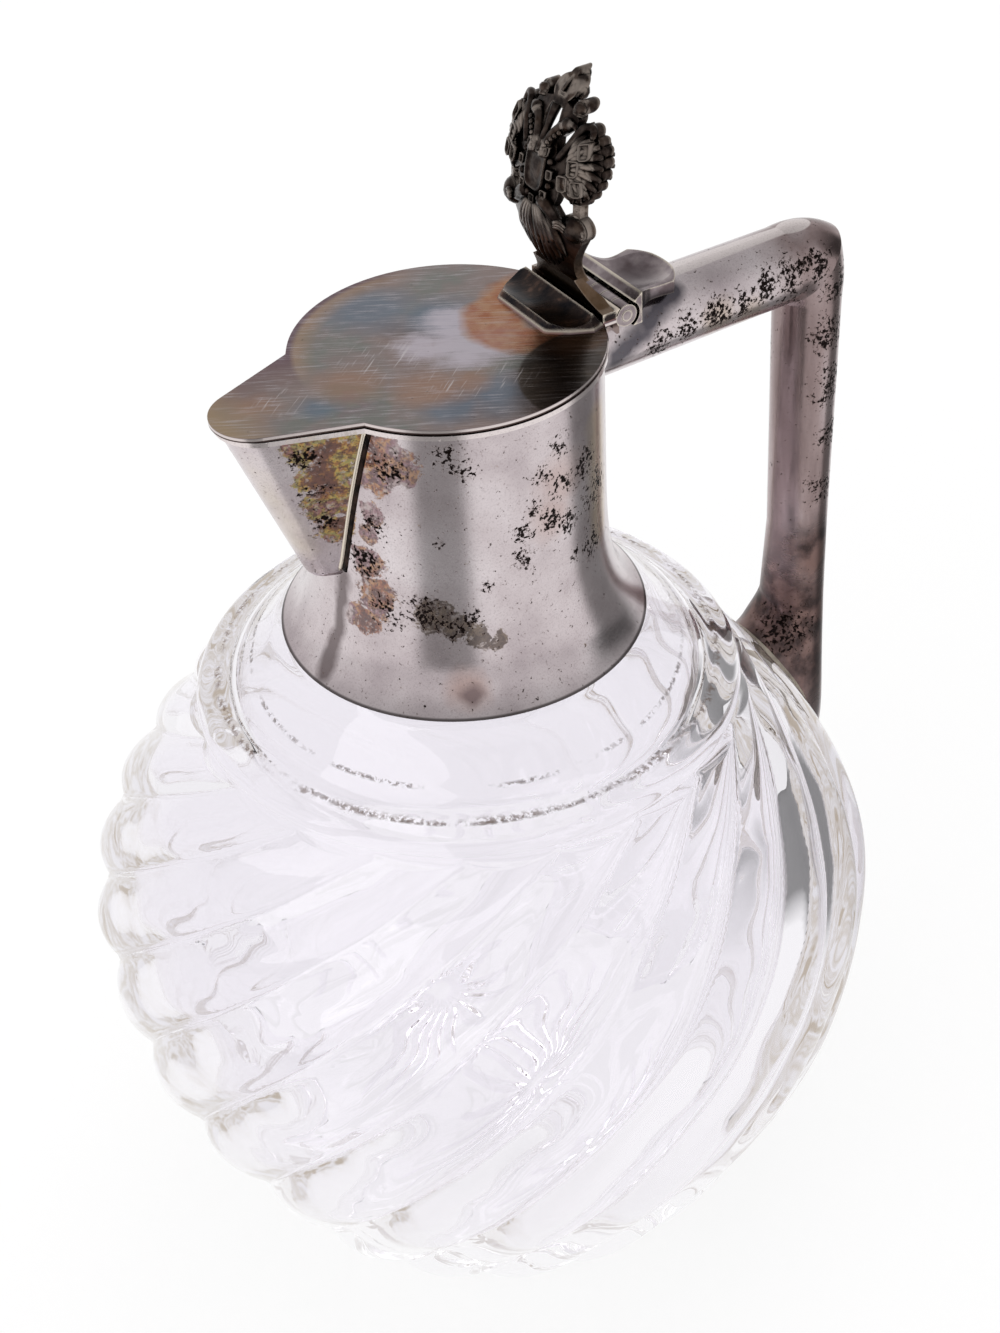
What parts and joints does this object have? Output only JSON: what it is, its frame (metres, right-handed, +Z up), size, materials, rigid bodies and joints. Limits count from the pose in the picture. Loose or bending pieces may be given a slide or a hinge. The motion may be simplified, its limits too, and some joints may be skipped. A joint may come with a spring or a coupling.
{
  "type": "milk jug",
  "caption": "Milk jug with a spirally fluted glass body, a tarnished silver collar and spout, a flat hinged lid with a cast openwork thumbpiece and a square-cornered tubular handle",
  "frame": {"origin": "centre of the flat base of the glass", "axes": "+Z up, -X towards the spout, +X towards the handle, +Y completes a right-handed frame"},
  "size_m": [0.1552, 0.1474, 0.2178],
  "materials": {
    "lead_crystal": "clear colourless glass, polished outside, with faint lilac depth",
    "silver": "satin silver with brown and black tarnish spots and fine scratches",
    "lid_silver": "tarnished silver with blue, orange and brown iridescence",
    "oxidised_silver": "dark oxidised cast silver with worn bright high spots",
    "hinge_silver": "warm worn silver with dark seams",
    "plaster": "matt plaster"
  },
  "bodies": {
    "jug": {"glass_body": "lead_crystal", "neck_cement": "plaster", "collar": "silver", "spout": "silver", "rim_wire": "silver", "handle_drop": "silver", "handle_arm": "silver", "handle_upright": "silver", "handle_foot": "silver", "foot_cement": "plaster", "hinge_bar": "silver", "hinge_tongue": "silver", "fixed_knuckles": "hinge_silver", "hinge_pin": "hinge_silver"},
    "lid": {"lid_plate": "lid_silver", "lid_flange": "lid_silver", "hinge_leaf": "lid_silver", "lid_knuckles": "hinge_silver", "lid_bridge": "lid_silver", "thumbpiece": "oxidised_silver"}
  },
  "joints": [
    {"name": "lid_hinge", "type": "hinge", "parent": "jug", "child": "lid", "pos_m": [0.0283, 0, 0.1781], "axis": [0, 1, 0], "range_deg": [0, 66]}
  ]
}
